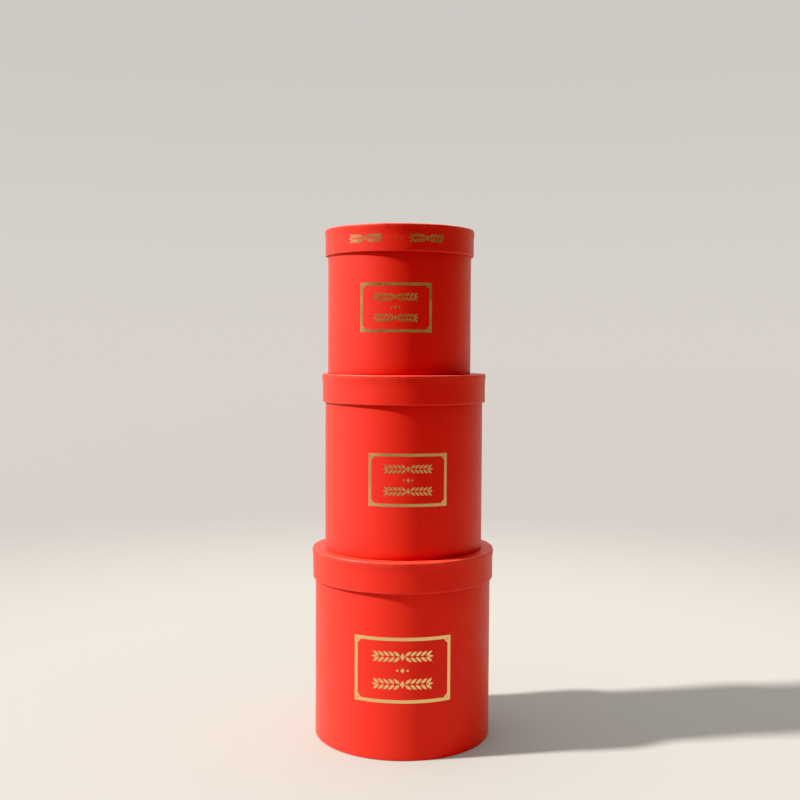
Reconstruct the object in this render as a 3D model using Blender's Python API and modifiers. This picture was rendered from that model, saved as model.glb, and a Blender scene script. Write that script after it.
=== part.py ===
"""Three round hat boxes in graded sizes, standing one on another, each with a lift-off lid.

Every box is built as a box maker builds it: a rolled board wall with a taped butt joint, a
board base set inside it, one sheet of covering paper turned over the mouth and under the base,
and lining papers. The lid is a board disc set into a board rim, covered and lined the same way.

Metres, +Z up. The origin is the centre of the largest box's underside, and the labels face -Y.
"""

import math
from dataclasses import dataclass

import bpy

# Boards and papers
WALL_BOARD = 0.0025
BASE_BOARD = 0.0025
LID_BOARD = 0.0025
RIM_BOARD = 0.0014
PAPER = 0.0003
TAPE = 0.0003
FOIL = 0.0003

# Fits
GLUE_GAP = 0.0003  # between two pieces that are glued face to face
LID_CLEARANCE = 0.0005  # between the lid's inner face and the box's outer face, on the radius
REST_GAP = 0.0003  # between a box and the lid that it stands on

# How the papers and tapes are laid
MOUTH_TURN_IN = 0.018  # covering paper folded down inside the mouth
UNDER_TURN = 0.012  # covering paper folded under the base
SKIRT = 0.013  # top paper folded down over the lid's rim
RIM_SPREAD = 0.0013  # how far the lid's disc spreads the top of the rim, on the radius
RIM_SETBACK = 0.0030  # top of the lid to the upper edge of the rim paper
RIM_DROP = 0.0011  # top of the lid's disc to the top of the rim strip round it
LID_FOLD = 0.0011  # the cut-back edge of the lid's top paper
BASE_PAPER_MARGIN = 0.005  # edge of the box to the edge of the base paper
LINER_MARGIN = 0.004  # mouth of the box to the upper edge of the wall liner
FOLD = 0.0005  # flat across the outside of a fold
TAPE_WIDTH = 0.028
JOINT_GAP = 0.0004  # between the two ends of a rolled board

SEGMENTS = 48  # facets round every box, so that neighbours stay parallel
CUTTER_MARGIN = 0.002


@dataclass(frozen=True)
class BoxSize:
    """One box of the set, with its lid on."""

    name: str
    diameter: float  # over the body's covering paper
    height: float  # underside to the top of the lid
    lid_depth: float  # top of the lid to its lower edge
    label_width: float  # along the curve
    label_height: float
    label_line: float  # width of the label's border
    label_centre: float  # above the underside
    turn: float  # degrees about the upright axis
    shift: float  # off the stack's axis, along X


SET = (
    BoxSize("large", 0.250, 0.2678, 0.0418, 0.1353, 0.0887, 0.0045, 0.1227, 0.0, 0.0),
    BoxSize("medium", 0.224, 0.2475, 0.0399, 0.1094, 0.0712, 0.0039, 0.1077, 3.0, 0.0006),
    BoxSize("small", 0.203, 0.2015, 0.0368, 0.1001, 0.0662, 0.0038, 0.0902, -2.8, -0.0063),
)


def clear_scene():
    for obj in list(bpy.data.objects):
        bpy.data.objects.remove(obj)


def new_collection(name):
    collection = bpy.data.collections.new(name)
    bpy.context.scene.collection.children.link(collection)
    return collection


def new_material(name, colour, roughness, metallic=0.0):
    material = bpy.data.materials.new(name)
    material.use_nodes = True
    shader = material.node_tree.nodes["Principled BSDF"]
    shader.inputs["Base Color"].default_value = (*colour, 1.0)
    shader.inputs["Roughness"].default_value = roughness
    shader.inputs["Metallic"].default_value = metallic
    return material


def new_empty(name, location, turn, parent=None):
    """A frame that a box or a lid hangs on, with its origin on the piece's upright axis."""
    empty = bpy.data.objects.new(name, None)
    empty.location = location
    empty.rotation_euler.z = turn
    empty.parent = parent
    PARTS.objects.link(empty)
    return empty


def place(obj, parent, material, collection=None):
    """Moves an object from the active collection to its own, and hangs it on its frame."""
    for old in list(obj.users_collection):
        old.objects.unlink(obj)
    (collection or PARTS).objects.link(obj)
    obj.parent = parent
    if material:
        obj.data.materials.append(material)
    return obj


def smooth(obj):
    obj.data.shade_smooth()
    obj.data.set_sharp_from_angle(angle=math.radians(30))


def disc(name, radius, bottom, thickness, parent, material):
    """A flat round board or paper."""
    bpy.ops.mesh.primitive_cylinder_add(
        vertices=SEGMENTS, radius=radius, depth=thickness, location=(0, 0, bottom + thickness / 2)
    )
    obj = bpy.context.object
    obj.name = name
    smooth(obj)
    return place(obj, parent, material)


def tube(name, radius, bottom, top, thickness, parent, material):
    """A rolled board or paper, given by the radius of its outer face."""
    bpy.ops.mesh.primitive_cylinder_add(
        vertices=SEGMENTS,
        radius=radius,
        depth=top - bottom,
        end_fill_type="NOTHING",
        location=(0, 0, (top + bottom) / 2),
    )
    obj = bpy.context.object
    obj.name = name
    smooth(obj)
    thicken(obj, thickness)
    return place(obj, parent, material)


def thicken(obj, thickness):
    """Gives an open surface its thickness, on the side away from its normals."""
    solidify = obj.modifiers.new("Thickness", "SOLIDIFY")
    solidify.thickness = thickness
    solidify.offset = -1
    solidify.use_even_offset = True


def turned_sheet(name, profile, thickness, parent, material):
    """A folded sheet: an open profile of (radius, height) points, turned about the box's axis."""
    mesh = bpy.data.meshes.new(name)
    points = [(radius, 0, height) for radius, height in profile]
    mesh.from_pydata(points, [(i, i + 1) for i in range(len(points) - 1)], [])
    obj = bpy.data.objects.new(name, mesh)
    screw = obj.modifiers.new("Turn", "SCREW")
    screw.steps = SEGMENTS
    screw.render_steps = SEGMENTS
    screw.use_merge_vertices = True
    screw.merge_threshold = 0.00005
    thicken(obj, thickness)
    return place(obj, parent, material)


def block_cutter(name, low, high, parent):
    """A box between two corners, used only to cut other pieces."""
    centre = [(a + b) / 2 for a, b in zip(low, high)]
    bpy.ops.mesh.primitive_cube_add(size=1, location=centre)
    obj = bpy.context.object
    obj.name = name
    obj.scale = [b - a for a, b in zip(low, high)]
    obj.hide_render = True
    obj.display_type = "WIRE"
    return place(obj, parent, None, CUTTERS)


def cut(obj, cutter, operation="DIFFERENCE"):
    boolean = obj.modifiers.new(cutter.name, "BOOLEAN")
    boolean.operation = operation
    boolean.object = cutter
    boolean.solver = "EXACT"


def butt_joint(obj, radius, bottom, top, parent):
    """Opens a rolled board at the back, where its two ends meet."""
    low = (-JOINT_GAP / 2, radius / 2, bottom - CUTTER_MARGIN)
    high = (JOINT_GAP / 2, radius + CUTTER_MARGIN, top + CUTTER_MARGIN)
    cut(obj, block_cutter(obj.name + "_joint_cutter", low, high, parent))


def joint_tape(name, radius, bottom, top, parent):
    """A strip of tape that follows the board's facets across its butt joint."""
    tape = tube(name, radius, bottom, top, TAPE, parent, KRAFT)
    low = (-TAPE_WIDTH / 2, radius / 2, bottom - CUTTER_MARGIN)
    high = (TAPE_WIDTH / 2, radius + CUTTER_MARGIN, top + CUTTER_MARGIN)
    cut(tape, block_cutter(name + "_keep_cutter", low, high, parent), "INTERSECT")


def label_frame(name, radius, size, parent):
    """The foil border of the label: a band round the front, trimmed to width and opened."""
    bottom = size.label_centre - size.label_height / 2
    top = size.label_centre + size.label_height / 2
    outer = radius + GLUE_GAP + FOIL
    frame = tube(name, outer, bottom, top, FOIL, parent, GOLD)

    def front_block(suffix, half_width, low_z, high_z):
        half = radius * math.sin(half_width / radius)
        low = (-half, -outer - CUTTER_MARGIN, low_z)
        return block_cutter(name + suffix, low, (half, -radius / 2, high_z), parent)

    half_width = size.label_width / 2
    keep = front_block("_keep_cutter", half_width, bottom - CUTTER_MARGIN, top + CUTTER_MARGIN)
    cut(frame, keep, "INTERSECT")
    line = size.label_line
    cut(frame, front_block("_window_cutter", half_width - line, bottom + line, top - line))


class BoxLevels:
    """The radii and heights at which one box's pieces meet, from its size and the fits above."""

    def __init__(self, size):
        self.outer = size.diameter / 2
        self.wall = self.outer - PAPER - GLUE_GAP
        self.wall_inner = self.wall - WALL_BOARD
        self.turn_in = self.wall_inner - GLUE_GAP
        self.liner = self.turn_in - PAPER - GLUE_GAP
        self.liner_inner = self.liner - PAPER

        self.under = PAPER + GLUE_GAP
        self.board_bottom = self.under + PAPER + GLUE_GAP
        self.floor = self.board_bottom + BASE_BOARD + GLUE_GAP

        self.lid_top = size.height
        self.lid_board_top = self.lid_top - PAPER - GLUE_GAP
        self.lid_board_bottom = self.lid_board_top - LID_BOARD
        self.lid_liner_bottom = self.lid_board_bottom - GLUE_GAP - PAPER
        self.mouth = self.lid_liner_bottom - GLUE_GAP
        self.wall_top = self.mouth - PAPER - GLUE_GAP

        self.rim_bottom = size.height - size.lid_depth
        self.rim_inside = self.outer + LID_CLEARANCE
        self.rim_board_inner = self.rim_inside + PAPER + GLUE_GAP
        self.rim_board = self.rim_board_inner + RIM_BOARD
        self.skirt = self.rim_board + GLUE_GAP + PAPER
        self.rim_outer = self.skirt + GLUE_GAP + PAPER
        self.rim_board_top = self.lid_board_top - RIM_DROP
        self.spread_start = self.lid_top - SKIRT

    def spread(self, height):
        """How much wider the lid's rim is at this height than along its straight lower part."""
        return RIM_SPREAD * max(0, height - self.spread_start) / SKIRT


def build_body(size, frame):
    """The open box: wall, base, covering paper, linings and label."""
    at = BoxLevels(size)
    name = size.name

    wall = tube(
        name + "_wall_board", at.wall, at.board_bottom, at.wall_top, WALL_BOARD, frame, GREYBOARD
    )
    butt_joint(wall, at.wall, at.board_bottom, at.wall_top, frame)
    tape_top = at.mouth - MOUTH_TURN_IN - GLUE_GAP
    joint_tape(name + "_wall_joint_tape", at.turn_in, at.floor, tape_top, frame)

    base_radius = at.wall_inner - GLUE_GAP
    disc(name + "_base_board", base_radius, at.board_bottom, BASE_BOARD, frame, GREYBOARD)
    disc(name + "_base_paper", at.outer - BASE_PAPER_MARGIN, 0, PAPER, frame, RED_PAPER)

    wrap = (
        (at.turn_in - PAPER, at.mouth - MOUTH_TURN_IN),
        (at.turn_in - PAPER, at.mouth),
        (at.outer - FOLD, at.mouth),
        (at.outer, at.mouth - FOLD),
        (at.outer, at.under + FOLD),
        (at.outer - FOLD, at.under),
        (at.outer - UNDER_TURN, at.under),
    )
    turned_sheet(name + "_outer_wrap", wrap, PAPER, frame, RED_PAPER)

    liner_top = at.mouth - LINER_MARGIN
    tube(name + "_wall_liner", at.liner, at.floor, liner_top, PAPER, frame, LINING)
    disc(name + "_floor_liner", at.liner_inner - GLUE_GAP, at.floor, PAPER, frame, LINING)
    label_frame(name + "_label_frame", at.outer, size, frame)


def build_lid(size, frame):
    """The lid: rim, disc, top paper, rim paper and lining."""
    at = BoxLevels(size)
    name = size.name + "_lid"

    rim_board_bottom = at.rim_bottom + PAPER + GLUE_GAP
    rim_board = (
        (at.rim_board + at.spread(at.rim_board_top), at.rim_board_top),
        (at.rim_board, at.spread_start),
        (at.rim_board, rim_board_bottom),
    )
    rim = turned_sheet(name + "_rim_board", rim_board, RIM_BOARD, frame, GREYBOARD)
    butt_joint(rim, at.rim_board + RIM_SPREAD, rim_board_bottom, at.rim_board_top, frame)
    tape_top = at.spread_start - GLUE_GAP
    joint_tape(name + "_rim_joint_tape", at.skirt, rim_board_bottom, tape_top, frame)

    board_radius = at.rim_board_inner + at.spread(at.lid_board_bottom) - GLUE_GAP
    disc(name + "_board", board_radius, at.lid_board_bottom, LID_BOARD, frame, GREYBOARD)
    liner_radius = at.rim_board_inner + at.spread(at.lid_liner_bottom) - GLUE_GAP
    disc(name + "_liner", liner_radius, at.lid_liner_bottom, PAPER, frame, LINING)

    top_paper = (
        (0, at.lid_top),
        (at.skirt + at.spread(at.lid_top) - LID_FOLD, at.lid_top),
        (at.skirt + at.spread(at.lid_top - LID_FOLD), at.lid_top - LID_FOLD),
        (at.skirt, at.spread_start),
    )
    turned_sheet(name + "_top_paper", top_paper, PAPER, frame, RED_PAPER)

    wrap_top = at.lid_top - RIM_SETBACK
    turn_in_top = at.lid_liner_bottom - GLUE_GAP
    rim_wrap = (
        (at.rim_outer + at.spread(wrap_top), wrap_top),
        (at.rim_outer, at.spread_start),
        (at.rim_outer, at.rim_bottom + FOLD),
        (at.rim_outer - FOLD, at.rim_bottom),
        (at.rim_inside, at.rim_bottom),
        (at.rim_inside, at.spread_start),
        (at.rim_inside + at.spread(turn_in_top), turn_in_top),
    )
    turned_sheet(name + "_rim_wrap", rim_wrap, PAPER, frame, RED_PAPER)


def build_stack():
    """Stands each box on the lid of the one below."""
    base = 0.0
    for size in SET:
        spot = (size.shift, 0, base)
        turn = math.radians(size.turn)
        build_body(size, new_empty(size.name + "_box", spot, turn))
        build_lid(size, new_empty(size.name + "_lid", spot, turn))
        base += size.height + REST_GAP


clear_scene()
PARTS = new_collection("hat_box_stack")
CUTTERS = new_collection("cutters")
RED_PAPER = new_material("red_paper", (0.72, 0.024, 0.018), 0.5)
LINING = new_material("lining_paper", (0.80, 0.77, 0.70), 0.7)
GREYBOARD = new_material("greyboard", (0.36, 0.33, 0.28), 0.9)
KRAFT = new_material("kraft_tape", (0.48, 0.31, 0.16), 0.75)
GOLD = new_material("gold_foil", (0.78, 0.58, 0.26), 0.35, 0.9)
build_stack()
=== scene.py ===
"""Looks of a stack of three round hat boxes: covering papers, linings, foil labels, light and camera.

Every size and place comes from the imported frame. Metres, +Z up, with the labels facing -Y.
Round pieces are built about their own box's axis, with angles counted from the label, so that
0 is the middle of the label and pi is the joint at the back.
"""

import logging
import math
from collections.abc import Callable, Sequence
from dataclasses import dataclass, field
from enum import Enum
from typing import Any

import bmesh
import bpy
import numpy as np
from mathutils import Matrix, Vector


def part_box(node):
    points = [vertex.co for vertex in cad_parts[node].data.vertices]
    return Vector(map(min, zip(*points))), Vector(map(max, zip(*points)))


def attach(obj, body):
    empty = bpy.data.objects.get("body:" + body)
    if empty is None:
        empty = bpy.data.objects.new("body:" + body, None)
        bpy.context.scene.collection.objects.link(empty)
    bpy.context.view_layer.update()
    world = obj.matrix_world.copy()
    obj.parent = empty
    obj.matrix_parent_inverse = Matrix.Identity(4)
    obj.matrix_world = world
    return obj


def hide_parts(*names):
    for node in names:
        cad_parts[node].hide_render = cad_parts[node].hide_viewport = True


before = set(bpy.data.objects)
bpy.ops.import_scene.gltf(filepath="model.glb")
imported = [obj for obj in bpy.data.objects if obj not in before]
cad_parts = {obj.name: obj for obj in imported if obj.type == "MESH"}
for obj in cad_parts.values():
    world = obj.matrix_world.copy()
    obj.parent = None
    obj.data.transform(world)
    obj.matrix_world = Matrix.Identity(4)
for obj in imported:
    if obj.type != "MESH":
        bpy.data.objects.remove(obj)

log = logging.getLogger("hat_boxes")

Point = tuple[float, float]
Place = tuple[float, float, float]
Colour = tuple[float, float, float]

MM = 0.001
SIZES = ("large", "medium", "small")
BACK = math.pi
GLUE_GAP = 0.3 * MM


class Slot(Enum):
    """The record's material slots."""

    RED_PAPER = "red_paper"
    LINING = "lining_paper"
    GREYBOARD = "greyboard"
    KRAFT = "kraft_tape"
    GOLD = "gold_foil"


class Part(Enum):
    """Which half of a hat box a piece belongs to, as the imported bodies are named."""

    BOX = "box"
    LID = "lid"


# ---------------------------------------------------------------------------------------------
# What the frame says
# ---------------------------------------------------------------------------------------------


@dataclass(frozen=True)
class Axis:
    """The upright axis of one box, and the direction in which its label faces."""

    x: float
    y: float
    turn: float

    @classmethod
    def of_box(cls, size: str) -> "Axis":
        """Finds a box's axis from its covering paper and its label.

        Args:
            size: The box's name in the frame, such as "large".

        Returns:
            The axis, with the turn of the label about it in radians.
        """
        low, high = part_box(f"{size}_outer_wrap")
        x, y = (low.x + high.x) / 2, (low.y + high.y) / 2
        middle = node_points(f"{size}_label_frame").mean(axis=0)
        return cls(x, y, math.atan2(middle[0] - x, y - middle[1]))


@dataclass(frozen=True)
class Turned:
    """The outline of a round node: its outer radius at each height where it has points."""

    heights: tuple[float, ...]
    radii: tuple[float, ...]

    @classmethod
    def of_node(cls, node: str, axis: Axis) -> "Turned":
        """Reads a round node's outline.

        Args:
            node: The node's name in the frame.
            axis: The axis that it is round about.

        Returns:
            The node's outer radii, from its lowest height to its highest.
        """
        points = node_points(node) - np.array([axis.x, axis.y, 0.0])
        normals = np.array([normal.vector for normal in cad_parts[node].data.vertex_normals])
        radius = np.hypot(points[:, 0], points[:, 1])
        outward = (normals[:, :2] * points[:, :2]).sum(axis=1) > 0.1 * radius
        level = np.round(points[:, 2], 5)
        outline = [(float(h), float(radius[outward & (level == h)].max())) for h in np.unique(level[outward])]
        # A level narrower than both its neighbours has points on the node's inside only.
        place = 1
        while place < len(outline) - 1:
            beside = min(outline[place - 1][1], outline[place + 1][1])
            if outline[place][1] < beside - 0.1 * MM:
                outline.pop(place)
                place = max(place - 1, 1)
            else:
                place += 1
        return cls(tuple(height for height, _ in outline), tuple(r for _, r in outline))

    @property
    def bottom(self) -> float:
        """The lowest height."""
        return self.heights[0]

    @property
    def top(self) -> float:
        """The highest height."""
        return self.heights[-1]

    @property
    def widest(self) -> float:
        """The largest radius."""
        return max(self.radii)

    def radius(self, height: float) -> float:
        """The outer radius at a height."""
        return float(np.interp(height, self.heights, self.radii))


def node_points(node: str) -> np.ndarray:
    """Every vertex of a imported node, one row each."""
    return np.array([vertex.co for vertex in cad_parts[node].data.vertices])


# ---------------------------------------------------------------------------------------------
# Relief of a sheet of paper over its board
# ---------------------------------------------------------------------------------------------


def smoothstep(value: np.ndarray) -> np.ndarray:
    """A soft step from 0 to 1 as the value goes from 0 to 1."""
    clipped = np.clip(value, 0.0, 1.0)
    return clipped * clipped * (3 - 2 * clipped)


def ramp(value: np.ndarray, start: float, length: float) -> np.ndarray:
    """A soft step from 0 to 1 that begins at a start and takes a length."""
    return smoothstep((value - start) / length)


def arc_from(angle: np.ndarray, centre: float, radius: float) -> np.ndarray:
    """Signed distance round the curve from one angle, in metres."""
    return (np.mod(angle - centre + math.pi, 2 * math.pi) - math.pi) * radius


@dataclass(frozen=True)
class Spots:
    """The spots of a round sheet, as arrays that go together."""

    angle: np.ndarray
    along: np.ndarray
    radius: np.ndarray
    height: np.ndarray


Relief = Callable[[Spots], np.ndarray]


def flat_relief(at: Spots) -> np.ndarray:
    """No relief at all."""
    return np.zeros(np.broadcast(at.angle, at.along).shape)


@dataclass(frozen=True)
class Swell:
    """The slow rise and fall of board that was rolled and glued by hand."""

    depth: float
    seed: int
    waves: int = 7

    def __call__(self, angle: np.ndarray, along: np.ndarray) -> np.ndarray:
        """Gives the height of the swell.

        Args:
            angle: Angles from the label.
            along: Distances along the sheet's outline, in metres.

        Returns:
            How far the surface stands off its true place, in metres.
        """
        rng = np.random.default_rng(self.seed)
        total = np.zeros(np.broadcast(angle, along).shape)
        for _ in range(self.waves):
            turns = int(rng.integers(2, 9))
            length = rng.uniform(0.07, 0.22)
            total += np.cos(turns * angle + rng.uniform(0, 2 * math.pi)) * np.cos(
                2 * math.pi * along / length + rng.uniform(0, 2 * math.pi)
            )
        return total * self.depth / math.sqrt(self.waves)


@dataclass(frozen=True)
class DiscRise:
    """The slow rise of a round sheet, which dies away towards its middle."""

    swell: Swell
    inward_only: bool = False
    still: float = 30 * MM

    def __call__(self, at: Spots) -> np.ndarray:
        """How far the sheet stands off its true place, in metres."""
        rise = self.swell(at.angle, at.along)
        rise = -abs(rise) if self.inward_only else rise
        return rise * ramp(at.radius, 0.0, self.still)


@dataclass(frozen=True)
class Overlap:
    """The strip at the back where a covering paper's end is pasted over its start."""

    radius: float
    width: float = 12 * MM
    rise: float = 0.28 * MM
    ramp: float = 3 * MM
    cut: float = 0.15 * MM

    def __call__(self, angle: np.ndarray) -> np.ndarray:
        """How far the strip stands proud, in metres."""
        across = arc_from(angle, BACK, self.radius)
        over_start = ramp(across, -self.width - self.ramp, self.ramp)
        past_cut = ramp(across, 0.0, self.cut)
        return self.rise * over_start * (1 - past_cut)

    def columns(self) -> list[float]:
        """Angles at which a mesh needs a column to show the strip's two edges."""
        soft = np.linspace(-self.width - self.ramp, -self.width, 5)
        near_cut = np.array([-6.0, -2.0, -0.4, 0.0]) * MM
        past_cut = np.array([0.3, 0.6, 1.0]) * self.cut
        around = np.concatenate([soft, near_cut, past_cut, [1.5 * MM, 4 * MM]])
        return [BACK + distance / self.radius for distance in around]


@dataclass(frozen=True)
class Pleats:
    """The small folds that a flat sheet makes where it is drawn down over a round edge."""

    radius: float
    depth: float
    seed: int
    spacing: tuple[float, float] = (2.6 * MM, 8 * MM)
    width: tuple[float, float] = (0.8 * MM, 1.6 * MM)

    def __call__(self, angle: np.ndarray, soften: float = 1.0) -> np.ndarray:
        """Height of the folds round the edge.

        Args:
            angle: Angles from the label.
            soften: How much wider and flatter the folds read through a second paper.

        Returns:
            How far the surface stands off its true place, in metres.
        """
        rng = np.random.default_rng(self.seed)
        total = np.zeros(np.shape(angle))
        place = 0.0
        while place < 2 * math.pi * self.radius:
            width = rng.uniform(*self.width) * soften
            height = rng.uniform(-0.7, 1.0) * self.depth / soften
            across = arc_from(angle, place / self.radius, self.radius)
            total += height * np.exp(-((across / width) ** 2))
            place += rng.uniform(*self.spacing)
        return total


# ---------------------------------------------------------------------------------------------
# Round sheets
# ---------------------------------------------------------------------------------------------


def round_corner(
    before: np.ndarray, corner: np.ndarray, after: np.ndarray, radius: float, steps: int
) -> list[np.ndarray]:
    """Rounds one corner of a path.

    Args:
        before: The corner before it.
        corner: The corner, as (radius, height).
        after: The corner after it.
        radius: Radius of the rounding.
        steps: Steps round it.

    Returns:
        Points from where the rounding starts to where it ends.
    """
    inward, outward = corner - before, after - corner
    inward, outward = inward / np.linalg.norm(inward), outward / np.linalg.norm(outward)
    bend = math.acos(float(np.clip(inward @ outward, -1, 1)))
    reach = radius * math.tan(bend / 2)
    start, end = corner - inward * reach, corner + outward * reach
    side = math.copysign(1.0, inward[0] * outward[1] - inward[1] * outward[0])
    centre = start + np.array([-inward[1], inward[0]]) * side * radius
    spoke = start - centre
    arc = [start]
    for step in range(1, steps):
        swing = side * bend * step / steps
        c, s = math.cos(swing), math.sin(swing)
        arc.append(centre + np.array([c * spoke[0] - s * spoke[1], s * spoke[0] + c * spoke[1]]))
    return [*arc, end]


@dataclass
class Outline:
    """The path of a folded sheet in its section, sampled closely enough to turn.

    The points run along the middle of the sheet's thickness.
    """

    points: np.ndarray
    along: np.ndarray
    normals: np.ndarray
    folds: list[float]

    @classmethod
    def folded(
        cls,
        corners: Sequence[Point],
        fold: float,
        steps: Sequence[float],
        arc_steps: int = 5,
        eased: Sequence[int] = (),
        ease: float = 70 * MM,
    ) -> "Outline":
        """Rounds the corners of a path and samples it.

        Args:
            corners: Corners of the path, as (radius, height).
            fold: Radius of each fold, at the middle of the sheet.
            steps: Longest step along each straight stretch, in metres.
            arc_steps: Steps round each fold.
            eased: Which of the folds are slight bends that are eased instead.
            ease: Radius of an eased bend.

        Returns:
            The sampled outline.
        """
        knots = np.array(corners, float)
        arcs = [
            round_corner(*knots[index : index + 3], ease if index in eased else fold, arc_steps)
            for index in range(len(knots) - 2)
        ]
        starts = [knots[0], *(arc[-1] for arc in arcs)]
        ends = [*(arc[0] for arc in arcs), knots[-1]]
        points: list[np.ndarray] = []
        fold_points: list[int] = []
        for index, (first, last) in enumerate(zip(starts, ends)):
            length = float(np.linalg.norm(last - first))
            count = max(1, math.ceil(length / steps[index] - 1e-6))
            points += [first + (last - first) * step / count for step in range(count + 1)]
            if index < len(arcs):
                between = arcs[index][1:-1]
                fold_points.append(len(points) + len(between) // 2)
                points += between
        path = np.array(points)
        lengths = np.linalg.norm(np.diff(path, axis=0), axis=1)
        along = np.concatenate([[0.0], np.cumsum(lengths)])
        tangents = np.gradient(path, along, axis=0)
        tangents /= np.linalg.norm(tangents, axis=1)[:, None]
        normals = np.stack([-tangents[:, 1], tangents[:, 0]], axis=1)
        return cls(path, along, normals, [float(along[place]) for place in fold_points])

    def flipped(self) -> "Outline":
        """The same path with its face on the other side."""
        return Outline(self.points, self.along, -self.normals, self.folds)


@dataclass
class RoundSheet:
    """A sheet of paper that goes all the way round a box's axis, as one closed body."""

    name: str
    axis: Axis
    outline: Outline
    thickness: float
    relief: Relief = flat_relief
    columns: int = 192
    extra_columns: list[float] = field(default_factory=list)
    wear_reach: float = 1.6 * MM
    worn: Sequence[float] = ()

    def angles(self) -> np.ndarray:
        """The angles of the mesh's columns, evenly spaced but for those asked for."""
        even = np.arange(self.columns) * 2 * math.pi / self.columns
        near = math.pi / self.columns
        extra = np.mod(self.extra_columns, 2 * math.pi)
        if len(extra):
            far = [bool(np.all(abs(angle - extra) > near / 2)) for angle in even]
            even = np.concatenate([even[np.array(far)], extra])
        return np.sort(even)

    def build(self) -> bpy.types.Object:
        """Turns the sheet about its axis.

        Returns:
            The object, standing on its axis, with an attribute near its folds that marks where they are
            painted paler, for rubbing and a painted highlight.
        """
        angles = self.angles()
        path, along = self.outline.points, self.outline.along
        radius, height = path[:, 0], path[:, 1]
        lift = self.relief(Spots(angles[:, None], along[None, :], radius[None, :], height[None, :]))
        wear = self.wear(along)
        has_pole = radius[0] < 1e-9
        lift[:, 0] = 0.0 if has_pole else lift[:, 0]
        face, back = lift + self.thickness / 2, lift - self.thickness / 2
        across, up = self.outline.normals.T
        ring_r = np.concatenate([radius + across * face, (radius + across * back)[:, ::-1]], axis=1)
        ring_z = np.concatenate([height + up * face, (height + up * back)[:, ::-1]], axis=1)
        ring_wear_and_highlight = np.concatenate([wear, wear[::-1]])
        return self.mesh(angles, ring_r, ring_z, ring_wear_and_highlight, has_pole)

    def wear(self, along: np.ndarray) -> np.ndarray:
        """How near each point of the outline is to a fold or edge painted paler, from 0 to 1: rubbing and a
        painted highlight.
        """
        total = np.zeros(along.shape)
        for place in self.worn:
            total = np.maximum(total, np.exp(-(((along - place) / self.wear_reach) ** 2)))
        return total

    def mesh(
        self,
        angles: np.ndarray,
        ring_r: np.ndarray,
        ring_z: np.ndarray,
        ring_wear_and_highlight: np.ndarray,
        has_pole: bool,
    ) -> bpy.types.Object:
        """Makes the object from its rings of points.

        Args:
            angles: The columns' angles.
            ring_r: Radii, one row for each column and one column for each point of the section.
            ring_z: Heights, in the same order.
            ring_wear_and_highlight: Wear at each point of the section.
            has_pole: Whether the section's first and last points lie on the axis.

        Returns:
            The finished object.
        """
        count, points = ring_r.shape
        x = ring_r * np.sin(angles)[:, None]
        y = -ring_r * np.cos(angles)[:, None]
        verts = np.stack([x, y, ring_z], axis=2).reshape(-1, 3)
        grid = np.arange(count * points).reshape(count, points)
        if has_pole:
            grid[:, 0] = grid[0, 0]
            grid[:, -1] = grid[0, -1]
        ahead = np.roll(grid, -1, axis=0)
        loops = []
        last = points - 1 if has_pole else points
        for index in range(last):
            following = (index + 1) % points
            loops.append(
                np.stack([grid[:, index], ahead[:, index], ahead[:, following], grid[:, following]], axis=1)
            )
        faces = [
            [v for place, v in enumerate(face) if v != face[place - 1]]
            for face in np.concatenate(loops).tolist()
        ]
        used = np.unique(np.concatenate([np.array(face) for face in faces]))
        renumber = np.full(len(verts), -1)
        renumber[used] = np.arange(len(used))
        mesh = bpy.data.meshes.new(self.name)
        mesh.from_pydata(verts[used].tolist(), [], [[int(renumber[v]) for v in face] for face in faces])
        # This mask marks the folds and edges painted paler, for rubbing and a painted highlight.
        attribute = mesh.attributes.new("wear", "FLOAT", "POINT")
        attribute.data.foreach_set("value", np.tile(ring_wear_and_highlight, count)[used].astype(np.float32))
        face_outwards(mesh)
        return stand_on_axis(mesh, self.axis)


def face_outwards(mesh: bpy.types.Mesh) -> None:
    """Makes a closed mesh's faces point out, and shades it smooth but for its cut edges."""
    work = bmesh.new()
    work.from_mesh(mesh)
    bmesh.ops.recalc_face_normals(work, faces=work.faces)
    if work.calc_volume(signed=True) < 0:
        bmesh.ops.reverse_faces(work, faces=work.faces)
    work.to_mesh(mesh)
    work.free()
    mesh.shade_smooth()
    mesh.set_sharp_from_angle(angle=math.radians(50))


def new_object(data: bpy.types.ID) -> bpy.types.Object:
    """Puts a mesh, curve, light or camera in the scene as an object of the same name."""
    obj = bpy.data.objects.new(data.name, data)
    bpy.context.scene.collection.objects.link(obj)
    return obj


def stand_on_axis(mesh: bpy.types.Mesh, axis: Axis) -> bpy.types.Object:
    """Stands a mesh that was built about the origin on a box's axis."""
    obj = new_object(mesh)
    obj.location = (axis.x, axis.y, 0.0)
    obj.rotation_euler.z = axis.turn
    return obj


# ---------------------------------------------------------------------------------------------
# Foil
# ---------------------------------------------------------------------------------------------


def lozenge(x: float, y: float, half_width: float, half_height: float) -> list[Point]:
    """A lozenge about a point."""
    return [(x + half_width, y), (x, y + half_height), (x - half_width, y), (x, y - half_height)]


def bead(x: float, y: float, radius: float, sides: int = 16) -> list[Point]:
    """A round dot about a point."""
    steps = (2 * math.pi * step / sides for step in range(sides))
    return [(x + radius * math.cos(step), y + radius * math.sin(step)) for step in steps]


def leaf(x: float, y: float, length: float, width: float, angle: float, steps: int = 7) -> list[Point]:
    """A pointed leaf.

    Args:
        x: Place of its stalk.
        y: Height of its stalk.
        length: From stalk to tip.
        width: Across its middle.
        angle: Direction of the tip, in radians.
        steps: Points along each side.

    Returns:
        The leaf's outline.
    """
    shares = [step / steps for step in range(1, steps)]
    side = [(length * share, width / 2 * math.sin(math.pi * share**0.85)) for share in shares]
    outline = [(0.0, 0.0), *side, (length, 0.0), *((u, -v) for u, v in reversed(side))]
    c, s = math.cos(angle), math.sin(angle)
    return [(x + c * u - s * v, y + s * u + c * v) for u, v in outline]


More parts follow.
